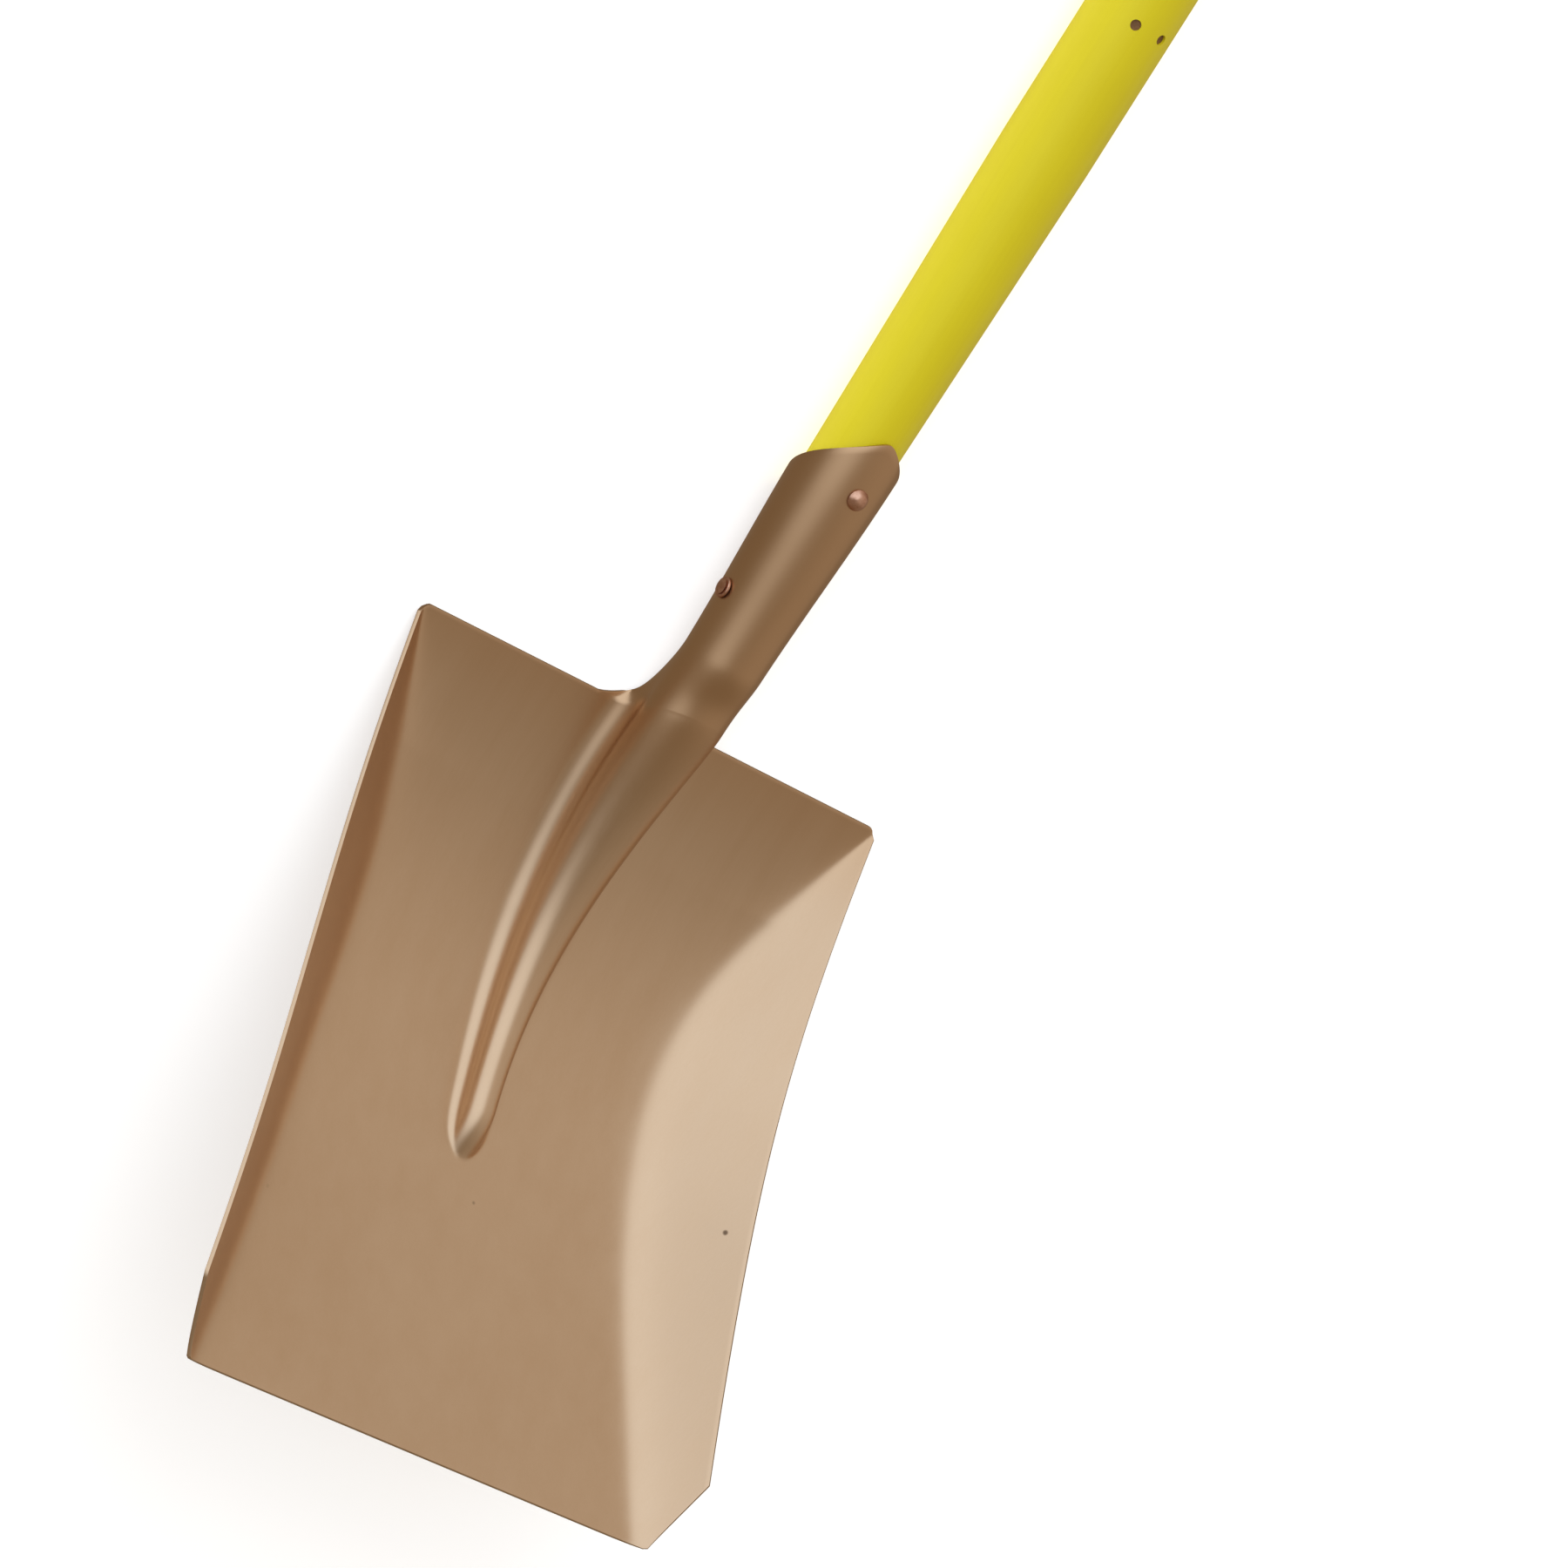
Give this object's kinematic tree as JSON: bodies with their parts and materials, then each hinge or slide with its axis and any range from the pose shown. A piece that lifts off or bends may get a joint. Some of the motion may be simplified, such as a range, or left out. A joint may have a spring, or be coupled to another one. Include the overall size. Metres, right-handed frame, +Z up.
{
  "type": "square-point shovel",
  "caption": "Square-point shovel with a pressed bronze scoop blade, a riveted fibreglass handle and a D-shaped hand grip, lying load side up.",
  "frame": {"origin": "middle of the bounding box in plan, on the surface the shovel lies on", "axes": "+Y along the handle from the blade to the grip, +Z up on the load side, +X across the blade"},
  "size_m": [0.256, 1.0419, 0.1482],
  "materials": {
    "bronze": "satin rolled bronze sheet",
    "copper": "dull copper rivets",
    "fibreglass": "yellow glass-fibre tube",
    "core": "sanded hardwood",
    "grip": "fine-textured black moulding",
    "sleeve": "soft ribbed rubber"
  },
  "bodies": {
    "root": {"blade": "bronze", "front_rivet": "copper", "front_rivet_burr": "copper", "cross_rivet": "copper", "cross_rivet_burr": "copper", "handle_tube": "fibreglass", "handle_core": "core", "core_pins": "copper", "tube_plug": "core", "grip_yoke": "grip", "grip_sleeve": "sleeve", "grip_rivets": "copper", "grip_rivet_burrs": "copper"}
  },
  "joints": []
}
